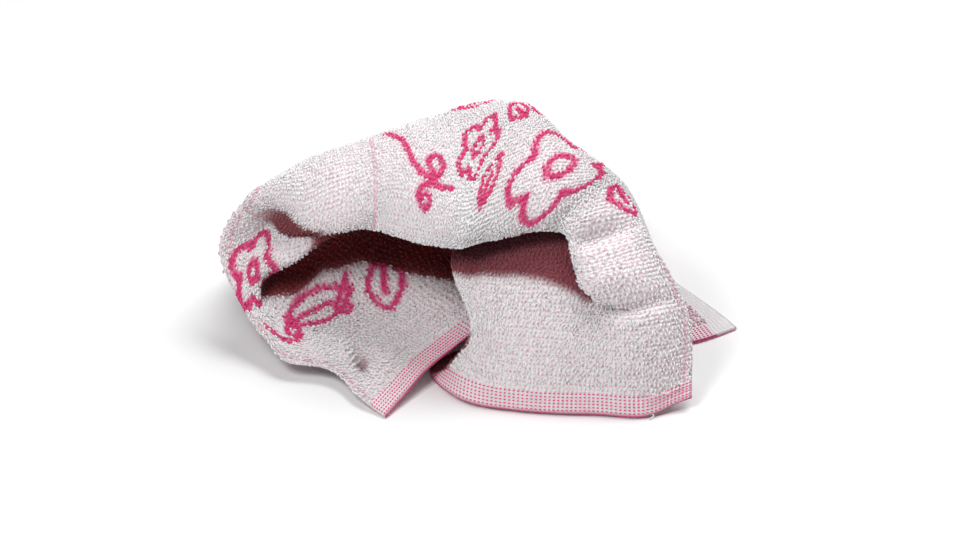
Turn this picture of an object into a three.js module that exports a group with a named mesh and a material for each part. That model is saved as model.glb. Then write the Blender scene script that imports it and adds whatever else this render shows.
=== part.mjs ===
// A small terry towel dropped in a heap: one rectangle of cloth, modelled as a thin closed solid.
//
// The cloth is drawn as a map from its flat rectangle to space. Across runs from the left selvedge to
// the right one, along runs from the near end hem to the far one. Each table below places one fold of
// the heap, a row for each spot of it, and the cloth runs smoothly past them all.

import * as THREE from "three";

// Driving dimensions, in millimetres
const WIDTH = 270; // selvedge to selvedge, laid flat
const LENGTH = 420; // hem to hem, laid flat
const THICKNESS = 2; // ground cloth with its pressed pile
const FLOOR = THICKNESS / 2; // height of the cloth's middle where it lies on the surface
const EASE = 0.0006; // stiffness: how readily the cloth passes beside a row's spot for a rounder fold

// Every fold table has these columns. The first two are places on the flat cloth, in millimetres from
// the left selvedge and from the near hem. The last three are where the cloth's middle passes.
const COLUMNS = { across: 0, along: 1, x: 2, y: 3, z: 4 };

// The near hem: up the flap's edge from its front corner, round the pleat under the flap, then along
// the foot of the front panel to the lifted right corner
const NEAR_HEM = [
  [0, 0, -41.5, -5.5, 1],
  [21, 0, -31, 11.5, 5],
  [39, 0, -22.5, 24.5, 9],
  [57, 0, -12, 34, 13],
  [74, 0, -2.5, 43, 16],
  [82, 0, 4, 52, 15],
  [88, 0, 6, 57, 11],
  [95, 0, 2, 60, 6],
  [103, 0, -6, 56, 1],
  [118, 0, -17, 46, 1],
  [133, 0, -22, 34, 1],
  [150, 0, -15, 19, 1],
  [163, 0, -6.5, 8.5, 1],
  [181, 0, 10, 2, 1],
  [213, 0, 42, -3, 1],
  [228, 0, 57, -3.5, 1],
  [247, 0, 76.5, -5.5, 1],
  [258, 0, 86, 0.5, 3],
  [270, 0, 96.5, 3, 6],
];

// The left selvedge, from the flap's front corner up round the open rim of the heap
const LEFT_RIM = [
  [0, 23, -57, 11.5, 5],
  [0, 37, -62.5, 23, 6],
  [0, 48, -72, 29, 8],
  [0, 62, -86.5, 30.5, 8],
  [0, 76, -94.5, 42, 12],
  [0, 90, -102.5, 51.5, 17],
  [0, 110, -112, 65, 29],
  [0, 128, -117.5, 75.5, 42],
  [0, 142, -113, 82.5, 53],
  [0, 156, -104.5, 88, 62],
];

// The flap, which is the floor of the hollow, rising towards the back
const FLAP = [
  [39, 27, -45, 42, 10],
  [39, 52, -68, 55, 13],
  [39, 73, -83, 66, 18.5],
  [39, 82, -90, 74, 23],
  [57, 27, -34, 58, 11],
  [57, 52, -54, 72, 16],
  [57, 70, -66, 84, 22],
  [74, 15, -13, 55, 17],
  [74, 30, -24, 68, 18],
  [74, 52, -42, 87, 22],
];

// The pleat where the flap turns under and comes back as the front panel, fanning out upwards
const PLEAT = [
  [82, 15, -4, 63, 18.5],
  [82, 30, -15, 76, 21],
  [88, 15, 5, 70, 15.5],
  [88, 30, -6, 82, 20],
  [88, 52, -28, 97, 28],
  [95, 15, 10, 69, 12],
  [95, 30, 4, 83, 17],
  [103, 12, 7, 58, 2],
  [103, 22, 13, 65, 7],
  [103, 34, 12, 76, 17],
  [103, 57, -12, 92, 36],
  [118, 12, -8, 49, 3.5],
  [118, 25, 5, 51, 5.5],
  [118, 36, 12, 56, 13],
  [118, 48, 9, 62, 26],
  [118, 62, -4, 73, 42],
  [133, 12, -12, 38, 5],
  [133, 20, -5, 41, 8.5],
  [133, 28, 2, 43, 13],
  [133, 38, 4, 46, 23],
  [142, 12, -12, 32, 6],
  [142, 22, -4, 34, 14],
];

// The front panel, leaning back from its hem
const PANEL = [
  [133, 50, -9, 56, 41],
  [150, 14, -10.5, 26.5, 13],
  [150, 30, -2.5, 26, 27],
  [150, 46, -5.5, 32.5, 40],
  [150, 64, -6, 43, 54],
  [181, 20, 11, 10, 20],
  [181, 40, 14, 20, 37],
  [181, 58, 17, 31, 50],
  [181, 73, 17, 44, 58],
  [213, 20, 43, 5, 20],
  [213, 40, 46, 15, 37],
  [207, 58, 44, 29, 50],
  [203, 73, 39, 44, 59],
  [228, 20, 57, 4.5, 20],
  [228, 40, 57, 14, 36],
  [228, 49, 57, 19, 43],
];

// The deepest line of the hollow, from the pocket at its left to the tuck that dies out in the panel
const HOLLOW_BACK = [
  [39, 93, -95, 83, 26],
  [48, 84, -80, 86, 25.5],
  [48, 94, -84, 84, 34],
  [58, 80, -68, 94, 32],
  [74, 75, -54, 102, 36],
  [88, 75, -40, 106, 40],
  [104, 80, -27, 99, 45],
  [120, 82, -15, 84, 51],
  [140, 82, -5, 67, 57],
  [162, 88, 5, 62, 60],
  [181, 91, 17, 61, 62],
  [202, 90, 38, 57, 64],
  [212, 84, 48, 50, 63],
  [214, 73, 47.5, 43, 57.5],
  [218, 61, 51, 31, 49.5],
];

// The roof of the hollow, where the cloth comes forward again under the lip
const HOLLOW_ROOF = [
  [58, 104, -66, 82, 50],
  [74, 98, -53, 86, 54],
  [88, 97, -42, 86, 55],
  [104, 97, -31, 82, 58],
  [120, 98, -19, 74, 60],
  [140, 98, -8, 60, 64],
  [162, 98, 3, 58, 67],
  [181, 98, 13, 58, 69],
  [202, 96, 33, 54, 70],
];

// The soft lobe that swells from the left wall over the pocket, and the valley above it
const LEFT_LOBE = [
  [25, 103, -99, 66, 34],
  [39, 109, -88, 66.5, 39],
  [46, 109, -79, 67.5, 42],
  [25, 127, -95, 89, 47.5],
  [39, 124, -88, 82, 45.5],
  [46, 122, -80, 79, 48.5],
];

// The lip that overhangs the hollow and the panel, turning down at its right end as a tongue
const LIP = [
  [12, 147, -96, 85, 60],
  [25, 143, -87.5, 79.5, 58],
  [39, 141, -79.5, 70.5, 57],
  [48, 136, -72.5, 63.5, 57],
  [58, 127, -60.5, 62, 60],
  [74, 120, -49, 61.5, 61.5],
  [88, 116, -37, 52, 63],
  [102, 116, -26.5, 43, 64],
  [120, 116, -16, 36.5, 65],
  [140, 117, -7.5, 35.5, 66],
  [162, 117, 1, 38.5, 67],
  [181, 116, 10, 39.5, 68],
  [195, 112, 19, 41.5, 69],
  [213, 107, 31, 42.5, 71],
  [224, 102, 40.5, 44.5, 73],
  [227, 93, 41, 38.5, 69],
  [227, 81, 42.5, 34, 63],
  [236, 79, 47, 28.5, 62],
  [227, 69, 48.5, 27.5, 56],
  [236, 68, 52, 24.5, 55],
  [230, 57, 54, 21.5, 47],
];

// The right shoulder, and the right selvedge up its side
const SHOULDER = [
  [247, 20, 76, 3.5, 20],
  [247, 40, 75.5, 13, 37],
  [250, 60, 73, 27, 51],
  [250, 80, 70, 44, 62],
  [249, 97, 66, 58, 69],
  [270, 15, 96.5, 14, 14],
  [270, 29, 96.5, 25.5, 23],
  [270, 44, 94.5, 35.5, 33],
  [270, 59, 88, 42, 45],
  [270, 69, 82.5, 46.5, 52],
  [270, 87, 73.5, 59.5, 60],
];

// The top sheet just behind the lip, where it rounds over
const CROWN = [
  [48, 142, -71, 68, 67],
  [88, 130, -38, 54, 74],
  [120, 129, -16, 39, 77],
  [120, 153, -14, 61, 88],
  [162, 131, 2, 41, 79],
  [162, 155, 6, 63, 91],
  [195, 124, 20, 44, 81],
  [213, 120, 35, 45, 81],
  [241, 93, 54, 44, 71],
];

// The ridge, the heap's skyline from the left rim over the peak to the shoulder
const RIDGE = [
  [20, 162, -87.5, 90.5, 70],
  [39, 165, -76.5, 95.5, 73],
  [58, 168, -62.5, 98.5, 78],
  [74, 172, -49, 100.5, 82],
  [82, 176, -43, 101, 86],
  [98, 184, -26.5, 101.5, 90],
  [120, 193, -8, 103.5, 96],
  [150, 197, 12.5, 105, 102],
  [175, 188, 23.5, 101.5, 100],
  [195, 172, 32.5, 94.5, 95],
  [213, 152, 46.5, 83, 87],
  [230, 134, 55.5, 77, 79],
  [247, 114, 61, 73.5, 74],
];

// The back of the heap, falling to the surface, with both selvedges slumped beside it
const BACK = [
  [0, 178, -106, 103, 49],
  [0, 200, -107, 114, 30],
  [0, 222, -105, 128, 13],
  [0, 248, -101, 150, 6],
  [40, 200, -80, 122, 52],
  [40, 240, -80, 152, 26],
  [80, 205, -46, 122, 72],
  [80, 250, -46, 158, 45],
  [120, 213, -10, 120, 89],
  [120, 250, -9, 146, 63],
  [120, 290, -9, 176, 34],
  [150, 216, 12, 122, 90],
  [150, 250, 13, 146, 66],
  [180, 205, 24, 118, 88],
  [213, 180, 44, 104, 74],
  [200, 225, 36, 136, 56],
  [200, 260, 40, 166, 30],
  [235, 170, 60, 106, 58],
  [235, 205, 61, 140, 39],
  [235, 240, 58, 170, 19],
  [270, 111, 73, 74, 54],
  [270, 137, 76, 86, 42],
  [270, 165, 79, 100, 27],
  [270, 187, 80, 112, 13],
  [270, 221, 77, 134, 6],
  [270, 253, 71, 161, 5.5],
];

// The far end, folded under and lying flat, with one corner showing at the right
const UNDERLAY = [
  [270, 305, 71, 159, 1],
  [270, 330, 79, 138, 1],
  [270, 369, 89, 117, 1],
  [270, 394, 103.5, 96.5, 1],
  [270, 420, 117.5, 74.5, 1],
  [243, 420, 94.5, 60, 1],
  [215, 420, 70, 63, 1],
  [202, 365, 50, 140, 1],
  [180, 420, 43, 80, 1],
  [145, 420, 13, 98, 1],
  [135, 380, 8, 150, 1],
  [107, 420, -17, 98, 1],
  [68, 360, -45, 145, 1],
  [58, 420, -42, 84, 1],
  [0, 350, -82, 114, 1],
  [0, 420, -64, 62, 1],
];

// The heel, the round fold on the surface behind the heap. Its rows give the fold's furthest line.
const HEEL = [
  { across: 0, along: 278, x: -97, y: 174 },
  { across: 30, along: 284, x: -80, y: 186 },
  { across: 60, along: 292, x: -62, y: 197 },
  { across: 100, along: 310, x: -30, y: 208 },
  { across: 135, along: 326, x: -2, y: 212 },
  { across: 170, along: 318, x: 20, y: 209 },
  { across: 205, along: 300, x: 39, y: 202 },
  { across: 240, along: 282, x: 55, y: 203 },
  { across: 270, along: 279, x: 65, y: 183 },
];

// The heel's round section: how far along from the furthest line, how far in front of it, how high
const HEEL_SECTION = [
  { along: -6, forward: 5, height: 7 },
  { along: 0, forward: 0, height: 4.2 },
  { along: 6, forward: 5, height: FLOOR },
  { along: 14, forward: 13, height: FLOOR },
];
const HEEL_STATIONS = 24;

// How the mesh rows follow the folds: where each fold line lies along the cloth, at places across it
const FOLD_LINES = [
  { across: 0, pit: 72, lip: 147, ridge: 162, heel: 278 },
  { across: 39, pit: 91, lip: 141, ridge: 166, heel: 286 },
  { across: 74, pit: 76, lip: 120, ridge: 174, heel: 298 },
  { across: 120, pit: 82, lip: 116, ridge: 194, heel: 319 },
  { across: 150, pit: 85, lip: 117, ridge: 198, heel: 323 },
  { across: 181, pit: 91, lip: 116, ridge: 188, heel: 312 },
  { across: 213, pit: 84, lip: 107, ridge: 152, heel: 296 },
  { across: 230, pit: 64, lip: 88, ridge: 136, heel: 288 },
  { across: 270, pit: 52, lip: 76, ridge: 100, heel: 279 },
];
const HEEL_ZONE = 13; // half the strip of close mesh rows along the heel

// Mesh cells across the cloth, closer over the pleat and the tongue
const CELLS_ACROSS = [
  { from: 0, to: 78, cells: 9 },
  { from: 78, to: 110, cells: 6 },
  { from: 110, to: 206, cells: 10 },
  { from: 206, to: 240, cells: 8 },
  { from: 240, to: WIDTH, cells: 4 },
];
// Mesh cells along the cloth, between one fold line and the next
const CELLS_ALONG = { toPit: 10, toLip: 6, toRidge: 7, toHeel: 11, roundHeel: 8, toFarHem: 9 };

function readTable(rows, columns) {
  return rows.map((row) => ({
    across: row[columns.across],
    along: row[columns.along],
    place: [row[columns.x], row[columns.y], row[columns.z]],
  }));
}

// Value of a named column at a place across the cloth, running straight between the table's rows
function readAcross(rows, name, across) {
  const last = rows.length - 1;
  let k = 0;
  while (k < last - 1 && rows[k + 1].across < across) k += 1;
  const share = (across - rows[k].across) / (rows[k + 1].across - rows[k].across);
  return THREE.MathUtils.lerp(rows[k][name], rows[k + 1][name], THREE.MathUtils.clamp(share, 0, 1));
}

function heelGuides() {
  const guides = [];
  for (let station = 0; station <= HEEL_STATIONS; station += 1) {
    const across = (WIDTH * station) / HEEL_STATIONS;
    const [along, x, y] = ["along", "x", "y"].map((name) => readAcross(HEEL, name, across));
    for (const step of HEEL_SECTION) {
      guides.push({ across, along: along + step.along, place: [x, y - step.forward, step.height] });
    }
  }
  return guides;
}

// Solves a square system with several right-hand sides by elimination with row swaps
function solveLinear(matrix, sides) {
  const size = matrix.length;
  for (let column = 0; column < size; column += 1) {
    let pivot = column;
    for (let row = column + 1; row < size; row += 1) {
      if (Math.abs(matrix[row][column]) > Math.abs(matrix[pivot][column])) pivot = row;
    }
    [matrix[column], matrix[pivot]] = [matrix[pivot], matrix[column]];
    [sides[column], sides[pivot]] = [sides[pivot], sides[column]];
    for (let row = column + 1; row < size; row += 1) {
      const factor = matrix[row][column] / matrix[column][column];
      if (factor === 0) continue;
      for (let k = column; k < size; k += 1) matrix[row][k] -= factor * matrix[column][k];
      for (let k = 0; k < sides[row].length; k += 1) sides[row][k] -= factor * sides[column][k];
    }
  }
  for (let row = size - 1; row >= 0; row -= 1) {
    for (let k = 0; k < sides[row].length; k += 1) {
      let sum = sides[row][k];
      for (let column = row + 1; column < size; column += 1) sum -= matrix[row][column] * sides[column][k];
      sides[row][k] = sum / matrix[row][row];
    }
  }
  return sides;
}

// The smoothest surface past the guides: a weighted sum of cubed distances on the flat cloth, plus a
// flat tilt. It returns a function from a place on the flat cloth to a point of the draped middle.
function drape(guides) {
  const unit = 100; // keeps the cubed distances near 1
  const distanceCubed = (a, b) => Math.hypot(a.across - b.across, a.along - b.along) ** 3 / unit ** 3;
  const tilt = (spot) => [1, spot.across / unit, spot.along / unit];
  const matrix = guides.map((a) => [...guides.map((b) => distanceCubed(a, b)), ...tilt(a)]);
  matrix.forEach((row, k) => {
    row[k] += EASE;
  });
  for (let k = 0; k < 3; k += 1) matrix.push([...guides.map((a) => tilt(a)[k]), 0, 0, 0]);
  const sides = guides.map((guide) => [...guide.place]);
  for (let k = 0; k < 3; k += 1) sides.push([0, 0, 0]);
  const weights = solveLinear(matrix, sides);
  return (across, along) => {
    const spot = { across, along };
    const terms = [...guides.map((guide) => distanceCubed(spot, guide)), ...tilt(spot)];
    const point = new THREE.Vector3(0, 0, 0);
    terms.forEach((term, k) => {
      point.x += term * weights[k][0];
      point.y += term * weights[k][1];
      point.z += term * weights[k][2];
    });
    point.z = Math.max(point.z, FLOOR);
    return point;
  };
}

function placesAcross() {
  const places = [0];
  for (const { from, to, cells } of CELLS_ACROSS) {
    for (let k = 1; k <= cells; k += 1) places.push(from + ((to - from) * k) / cells);
  }
  return places;
}

function placesAlong(across) {
  const line = (name) => readAcross(FOLD_LINES, name, across);
  const stops = [
    [line("pit"), CELLS_ALONG.toPit],
    [line("lip"), CELLS_ALONG.toLip],
    [line("ridge"), CELLS_ALONG.toRidge],
    [line("heel") - HEEL_ZONE, CELLS_ALONG.toHeel],
    [line("heel") + HEEL_ZONE, CELLS_ALONG.roundHeel],
    [LENGTH, CELLS_ALONG.toFarHem],
  ];
  const places = [0];
  for (const [to, cells] of stops) {
    const from = places[places.length - 1];
    for (let k = 1; k <= cells; k += 1) places.push(from + ((to - from) * k) / cells);
  }
  return places;
}

// Points of the two faces of the cloth at one place, half the thickness to each side of its middle
function facesAt(middle, across, along) {
  const reach = 1.5; // step on the flat cloth over which its slope is read
  const slope = (before, after) => middle(...after).sub(middle(...before));
  const ahead = slope([across - reach, along], [across + reach, along]);
  const up = slope([across, along - reach], [across, along + reach]);
  const normal = ahead.cross(up).normalize();
  const centre = middle(across, along);
  const front = centre.clone().addScaledVector(normal, THICKNESS / 2);
  const reverse = centre.clone().addScaledVector(normal, -THICKNESS / 2);
  front.z = Math.max(front.z, 0);
  reverse.z = Math.max(reverse.z, 0);
  return { front, reverse };
}

// A closed solid from the grid of paired face points: two faces and the four edges
function sheetGeometry(grid) {
  const columns = grid.length;
  const rows = grid[0].length;
  const positions = [];
  for (const side of ["front", "reverse"]) {
    for (const column of grid) {
      for (const pair of column) positions.push(pair[side].x, pair[side].y, pair[side].z);
    }
  }
  const front = (i, j) => i * rows + j;
  const reverse = (i, j) => columns * rows + front(i, j);
  const triangles = [];
  const quad = (a, b, c, d) => triangles.push(a, b, c, a, c, d);
  for (let i = 0; i + 1 < columns; i += 1) {
    for (let j = 0; j + 1 < rows; j += 1) {
      quad(front(i, j), front(i + 1, j), front(i + 1, j + 1), front(i, j + 1));
      quad(reverse(i, j), reverse(i, j + 1), reverse(i + 1, j + 1), reverse(i + 1, j));
    }
    quad(front(i, 0), reverse(i, 0), reverse(i + 1, 0), front(i + 1, 0));
    quad(front(i + 1, rows - 1), reverse(i + 1, rows - 1), reverse(i, rows - 1), front(i, rows - 1));
  }
  for (let j = 0; j + 1 < rows; j += 1) {
    quad(front(0, j + 1), reverse(0, j + 1), reverse(0, j), front(0, j));
    quad(front(columns - 1, j), reverse(columns - 1, j), reverse(columns - 1, j + 1), front(columns - 1, j + 1));
  }
  const geometry = new THREE.BufferGeometry();
  geometry.setAttribute("position", new THREE.Float32BufferAttribute(positions, 3));
  geometry.setIndex(triangles);
  return geometry;
}

function buildTowel() {
  const tables = [
    NEAR_HEM, LEFT_RIM, FLAP, PLEAT, PANEL, HOLLOW_BACK, HOLLOW_ROOF,
    LEFT_LOBE, LIP, SHOULDER, CROWN, RIDGE, BACK, UNDERLAY,
  ];
  const guides = [...tables.flatMap((rows) => readTable(rows, COLUMNS)), ...heelGuides()];
  const middle = drape(guides);
  const grid = placesAcross().map((across) =>
    placesAlong(across).map((along) => facesAt(middle, across, along)),
  );
  const geometry = sheetGeometry(grid);
  geometry.computeBoundingBox();
  const centre = geometry.boundingBox.getCenter(new THREE.Vector3());
  geometry.translate(-centre.x, -centre.y, 0);
  geometry.computeVertexNormals();
  const terry = new THREE.MeshStandardMaterial({ color: 0xeedfe4, roughness: 0.95, metalness: 0 });
  const towel = new THREE.Mesh(geometry, terry);
  towel.name = "towel";
  return towel;
}

const heap = new THREE.Group();
heap.add(buildTowel());

export default heap;
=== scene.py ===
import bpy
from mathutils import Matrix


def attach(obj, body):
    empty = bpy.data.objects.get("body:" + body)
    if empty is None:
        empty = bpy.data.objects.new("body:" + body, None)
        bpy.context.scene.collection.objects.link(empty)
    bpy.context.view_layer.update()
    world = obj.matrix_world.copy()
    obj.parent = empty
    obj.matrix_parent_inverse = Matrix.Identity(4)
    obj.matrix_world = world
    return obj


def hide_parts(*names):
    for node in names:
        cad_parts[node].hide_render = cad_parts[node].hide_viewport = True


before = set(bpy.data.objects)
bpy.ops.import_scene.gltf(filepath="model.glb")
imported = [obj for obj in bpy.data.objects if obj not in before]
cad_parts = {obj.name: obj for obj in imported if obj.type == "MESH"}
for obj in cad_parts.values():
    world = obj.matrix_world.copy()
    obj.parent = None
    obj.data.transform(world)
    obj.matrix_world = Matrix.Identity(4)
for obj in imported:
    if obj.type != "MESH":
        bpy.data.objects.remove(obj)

"""A small two-colour terry towel dropped in a loose heap on a pale surface.

The ground cloth is one closed sheet on the heap's folds. The pile is built loop by loop on it, white,
with a line drawing and thin frame lines in pink loops, and the flat woven hems carry rows of pink
stitches. Lengths are in millimetres until a mesh is made.
"""
import logging
import math
from dataclasses import dataclass
from enum import Enum

import bpy
import numpy as np
from bpy.types import Material, Node, NodeSocket, NodeTree, Object
from mathutils import Matrix, Vector

LOG = logging.getLogger("towel")

Array = np.ndarray
MM = 0.001
WIDTH = 270.0  # selvedge to selvedge, laid flat
LENGTH = 420.0  # hem to hem, laid flat
REST_HEIGHT = 1.0  # the cloth's middle where it lies on the surface
GROUND_THICKNESS = 1.0  # the woven ground without its pile
EASE = 0.0006  # how readily the cloth passes beside a guide for a rounder fold
LOOP_PITCH = 2.0  # one loop to the next, across and along
HEM_DEPTH = 10.0  # the flat woven band at each end
HEM_ROWS = (1.6, 3.05, 4.5, 5.95, 7.4, 8.85)  # its rows of pink stitches, from the edge
LOWEST = 0.05  # no vertex lies closer to the surface than this
MAP_BATCH = 20000  # places that the map works out at once
STROKE_BATCH = 4000  # places held against all strokes at once

# Each fold table has the columns across, along, x, y, z: a place on the flat cloth, then where the
# cloth's middle passes.
# The near hem: up the flap's edge from its front corner, round the pleat under the flap, then along
# the foot of the front panel to the lifted right corner
NEAR_HEM = [
    (0, 0, -41.5, -5.5, 1), (21, 0, -31, 11.5, 5), (39, 0, -22.5, 24.5, 9), (57, 0, -12, 34, 13),
    (74, 0, -2.5, 43, 16), (82, 0, 4, 52, 15), (88, 0, 6, 57, 11), (95, 0, 2, 60, 6),
    (103, 0, -6, 56, 1), (118, 0, -17, 46, 1), (133, 0, -22, 34, 1), (150, 0, -15, 19, 1),
    (163, 0, -6.5, 8.5, 1), (181, 0, 10, 2, 1), (213, 0, 42, -3, 1), (228, 0, 57, -3.5, 1),
    (247, 0, 76.5, -5.5, 1), (258, 0, 86, 0.5, 3), (270, 0, 96.5, 3, 6),
]

# The left selvedge, from the flap's front corner up round the open rim of the heap
LEFT_RIM = [
    (0, 23, -57, 11.5, 5), (0, 37, -62.5, 23, 6), (0, 48, -72, 29, 8), (0, 62, -86.5, 30.5, 8),
    (0, 76, -94.5, 42, 12), (0, 90, -102.5, 51.5, 17), (0, 110, -112, 65, 29),
    (0, 128, -117.5, 75.5, 42), (0, 142, -113, 82.5, 53), (0, 156, -104.5, 88, 62),
]

# The flap, which is the floor of the hollow, rising towards the back
FLAP = [
    (39, 27, -45, 42, 10), (39, 52, -68, 55, 13), (39, 73, -83, 66, 18.5), (39, 82, -90, 74, 23),
    (57, 27, -34, 58, 11), (57, 52, -54, 72, 16), (57, 70, -66, 84, 22), (74, 15, -13, 55, 17),
    (74, 30, -24, 68, 18), (74, 52, -42, 87, 22),
]

# The pleat where the flap turns under and comes back as the front panel, fanning out upwards
PLEAT = [
    (82, 15, -4, 63, 18.5), (82, 30, -15, 76, 21), (88, 15, 5, 70, 15.5), (88, 30, -6, 82, 20),
    (88, 52, -28, 97, 28), (95, 15, 10, 69, 12), (95, 30, 4, 83, 17), (103, 12, 7, 58, 2),
    (103, 22, 13, 65, 7), (103, 34, 12, 76, 17), (103, 57, -12, 92, 36), (118, 12, -8, 49, 3.5),
    (118, 25, 5, 51, 5.5), (118, 36, 12, 56, 13), (118, 48, 9, 62, 26), (118, 62, -4, 73, 42),
    (133, 12, -12, 38, 5), (133, 20, -5, 41, 8.5), (133, 28, 2, 43, 13), (133, 38, 4, 46, 23),
    (142, 12, -12, 32, 6), (142, 22, -4, 34, 14),
]

# The front panel, leaning back from its hem
PANEL = [
    (133, 50, -9, 56, 41), (150, 14, -10.5, 26.5, 13), (150, 30, -2.5, 26, 27),
    (150, 46, -5.5, 32.5, 40), (150, 64, -6, 43, 54), (181, 20, 11, 10, 20), (181, 40, 14, 20, 37),
    (181, 58, 17, 31, 50), (181, 73, 17, 44, 58), (213, 20, 43, 5, 20), (213, 40, 46, 15, 37),
    (207, 58, 44, 29, 50), (203, 73, 39, 44, 59), (228, 20, 57, 4.5, 20), (228, 40, 57, 14, 36),
    (228, 49, 57, 19, 43),
]

# The deepest line of the hollow, from the pocket at its left to the tuck that dies out in the panel
HOLLOW_BACK = [
    (39, 93, -95, 83, 26), (48, 84, -80, 86, 25.5), (48, 94, -84, 84, 34), (58, 80, -68, 94, 32),
    (74, 75, -54, 102, 36), (88, 75, -40, 106, 40), (104, 80, -27, 99, 45), (120, 82, -15, 84, 51),
    (140, 82, -5, 67, 57), (162, 88, 5, 62, 60), (181, 91, 17, 61, 62), (202, 90, 38, 57, 64),
    (212, 84, 48, 50, 63), (214, 73, 47.5, 43, 57.5), (218, 61, 51, 31, 49.5),
]

# The roof of the hollow, where the cloth comes forward again under the lip
HOLLOW_ROOF = [
    (58, 104, -66, 82, 50), (74, 98, -53, 86, 54), (88, 97, -42, 86, 55), (104, 97, -31, 82, 58),
    (120, 98, -19, 74, 60), (140, 98, -8, 60, 64), (162, 98, 3, 58, 67), (181, 98, 13, 58, 69),
    (202, 96, 33, 54, 70),
]

# The soft lobe that swells from the left wall over the pocket, and the valley above it
LEFT_LOBE = [
    (25, 103, -99, 66, 34), (39, 109, -88, 66.5, 39), (46, 109, -79, 67.5, 42),
    (25, 127, -95, 89, 47.5), (39, 124, -88, 82, 45.5), (46, 122, -80, 79, 48.5),
]

# The lip that overhangs the hollow and the panel, turning down at its right end as a tongue
LIP = [
    (12, 147, -96, 85, 60), (25, 143, -87.5, 79.5, 58), (39, 141, -79.5, 70.5, 57),
    (48, 136, -72.5, 63.5, 57), (58, 127, -60.5, 62, 60), (74, 120, -49, 61.5, 61.5),
    (88, 116, -37, 52, 63), (102, 116, -26.5, 43, 64), (120, 116, -16, 36.5, 65),
    (140, 117, -7.5, 35.5, 66), (162, 117, 1, 38.5, 67), (181, 116, 10, 39.5, 68),
    (195, 112, 19, 41.5, 69), (213, 107, 31, 42.5, 71), (224, 102, 40.5, 44.5, 73),
    (227, 93, 41, 38.5, 69), (227, 81, 42.5, 34, 63), (236, 79, 47, 28.5, 62),
    (227, 69, 48.5, 27.5, 56), (236, 68, 52, 24.5, 55), (230, 57, 54, 21.5, 47),
]

# The right shoulder, and the right selvedge up its side
SHOULDER = [
    (247, 20, 76, 3.5, 20), (247, 40, 75.5, 13, 37), (250, 60, 73, 27, 51), (250, 80, 70, 44, 62),
    (249, 97, 66, 58, 69), (270, 15, 96.5, 14, 14), (270, 29, 96.5, 25.5, 23),
    (270, 44, 94.5, 35.5, 33), (270, 59, 88, 42, 45), (270, 69, 82.5, 46.5, 52),
    (270, 87, 73.5, 59.5, 60),
]

# The top sheet just behind the lip, where it rounds over
CROWN = [
    (48, 142, -71, 68, 67), (88, 130, -38, 54, 74), (120, 129, -16, 39, 77), (120, 153, -14, 61, 88),
    (162, 131, 2, 41, 79), (162, 155, 6, 63, 91), (195, 124, 20, 44, 81), (213, 120, 35, 45, 81),
    (241, 93, 54, 44, 71),
]

# The ridge, the heap's skyline from the left rim over the peak to the shoulder
RIDGE = [
    (20, 162, -87.5, 90.5, 70), (39, 165, -76.5, 95.5, 73), (58, 168, -62.5, 98.5, 78),
    (74, 172, -49, 100.5, 82), (82, 176, -43, 101, 86), (98, 184, -26.5, 101.5, 90),
    (120, 193, -8, 103.5, 96), (150, 197, 12.5, 105, 102), (175, 188, 23.5, 101.5, 100),
    (195, 172, 32.5, 94.5, 95), (213, 152, 46.5, 83, 87), (230, 134, 55.5, 77, 79),
    (247, 114, 61, 73.5, 74),
]

# The back of the heap, falling to the surface, with both selvedges slumped beside it
BACK = [
    (0, 178, -106, 103, 49), (0, 200, -107, 114, 30), (0, 222, -105, 128, 13), (0, 248, -101, 150, 6),
    (40, 200, -80, 122, 52), (40, 240, -80, 152, 26), (80, 205, -46, 122, 72), (80, 250, -46, 158, 45),
    (120, 213, -10, 120, 89), (120, 250, -9, 146, 63), (120, 290, -9, 176, 34), (150, 216, 12, 122, 90),
    (150, 250, 13, 146, 66), (180, 205, 24, 118, 88), (213, 180, 44, 104, 74), (200, 225, 36, 136, 56),
    (200, 260, 40, 166, 30), (235, 170, 60, 106, 58), (235, 205, 61, 140, 39), (235, 240, 58, 170, 19),
    (270, 111, 73, 74, 54), (270, 137, 76, 86, 42), (270, 165, 79, 100, 27), (270, 187, 80, 112, 13),
    (270, 221, 77, 134, 6), (270, 253, 71, 161, 5.5),
]

# The far end, folded under and lying flat, with one corner showing at the right
UNDERLAY = [
    (270, 305, 71, 159, 1), (270, 330, 79, 138, 1), (270, 369, 89, 117, 1), (270, 394, 103.5, 96.5, 1),
    (270, 420, 117.5, 74.5, 1), (243, 420, 94.5, 60, 1), (215, 420, 70, 63, 1), (202, 365, 50, 140, 1),
    (180, 420, 43, 80, 1), (145, 420, 13, 98, 1), (135, 380, 8, 150, 1), (107, 420, -17, 98, 1),
    (68, 360, -45, 145, 1), (58, 420, -42, 84, 1), (0, 350, -82, 114, 1), (0, 420, -64, 62, 1),
]

FOLDS = (
    NEAR_HEM, LEFT_RIM, FLAP, PLEAT, PANEL, HOLLOW_BACK, HOLLOW_ROOF,
    LEFT_LOBE, LIP, SHOULDER, CROWN, RIDGE, BACK, UNDERLAY,
)

# The round fold on the surface behind the heap: across, along, x, y of its furthest line
HEEL = [
    (0, 278, -97, 174), (30, 284, -80, 186), (60, 292, -62, 197), (100, 310, -30, 208),
    (135, 326, -2, 212), (170, 318, 20, 209), (205, 300, 39, 202), (240, 282, 55, 203),
    (270, 279, 65, 183),
]
# The heel's round section: along from the furthest line, forward of it, height
HEEL_SECTION = [(-6, 5, 7), (0, 0, 4.2), (6, 5, REST_HEIGHT), (14, 13, REST_HEIGHT)]
HEEL_STATIONS = 24

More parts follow.
